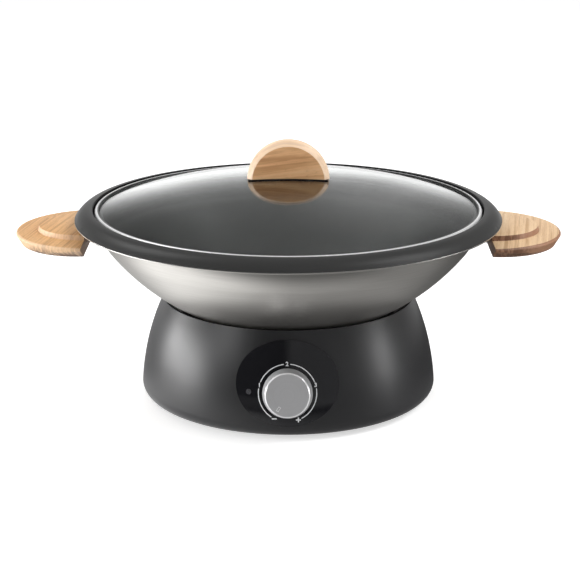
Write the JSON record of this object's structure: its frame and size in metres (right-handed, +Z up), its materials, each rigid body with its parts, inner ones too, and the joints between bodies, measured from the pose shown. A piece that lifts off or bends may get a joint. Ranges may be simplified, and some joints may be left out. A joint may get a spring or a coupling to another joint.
{
  "type": "electric wok",
  "caption": "Electric wok: heated black base with a dial, lift-off steel bowl with two beech handles and a domed glass lid with a beech grip.",
  "frame": {"origin": "centre of the base on the table", "axes": "+Z up, -Y out of the dial, +X through the right handle"},
  "size_m": [0.462, 0.3606, 0.2215],
  "materials": {
    "housing_black": "satin",
    "plate_black": "matt",
    "foot_rubber": "matt",
    "screw_steel": "plain",
    "fascia_gloss": "high gloss",
    "lens_smoke": "smoked, gloss",
    "lamp_orange": "gloss",
    "thermostat_case": "plain",
    "nut_brass": "plain",
    "copper": "plain copper",
    "clip_steel": "plain",
    "element_steel": "heat darkened",
    "ceramic": "matt ceramic",
    "dish_steel": "bright",
    "pad_grey": "matt silicone",
    "gland_black": "matt",
    "lead_red": "silicone sleeve",
    "knob_silver": "satin silver",
    "shaft_steel": "plain",
    "bowl_steel": "satin outside, black non-stick inside and on the rim",
    "disc_steel": "satin",
    "beech": "oiled beech",
    "bracket_steel": "plain",
    "lid_glass": "clear, dark against the bowl",
    "band_steel": "polished",
    "grip_pad_dark": "matt"
  },
  "bodies": {
    "base": {"base_shell": "housing_black", "base_plate": "plate_black", "rubber_feet": "foot_rubber", "base_screws": "screw_steel", "fascia_panel": "fascia_gloss", "indicator_lens": "lens_smoke", "indicator_lamp": "lamp_orange", "thermostat_body": "thermostat_case", "thermostat_nut": "nut_brass", "sensor_bulb": "copper", "sensor_clip": "clip_steel", "heating_element": "element_steel", "element_supports": "ceramic", "element_bushes": "ceramic", "element_terminals": "nut_brass", "reflector_dish": "dish_steel", "support_ring": "clip_steel", "ring_screws": "screw_steel", "support_pads": "pad_grey", "terminal_block": "ceramic", "thermal_fuse": "ceramic", "fuse_clip": "clip_steel", "cord_gland": "gland_black", "internal_leads": "lead_red"},
    "dial": {"control_knob": "knob_silver", "knob_shaft": "shaft_steel"},
    "bowl": {"wok_bowl": "bowl_steel", "spreader_disc": "disc_steel", "handle_left": "beech", "handle_right": "beech", "bracket_left": "bracket_steel", "bracket_right": "bracket_steel", "handle_screws": "screw_steel"},
    "lid": {"lid_glass": "lid_glass", "lid_band": "band_steel", "lid_grip": "beech", "grip_pad": "grip_pad_dark", "grip_washers": "clip_steel", "grip_screws": "screw_steel"}
  },
  "joints": [
    {"name": "dial_turn", "type": "hinge", "parent": "base", "child": "dial", "pos_m": [0, -0.12276, 0.0405], "axis": [0, 0.9803, -0.1976], "range_deg": [0, 300]},
    {"name": "bowl_lift", "type": "slide", "parent": "base", "child": "bowl", "axis": [0, 0, 1], "range_m": [0, 0.15]},
    {"name": "lid_lift", "type": "slide", "parent": "bowl", "child": "lid", "axis": [0, 0, 1], "range_m": [0, 0.12]}
  ]
}
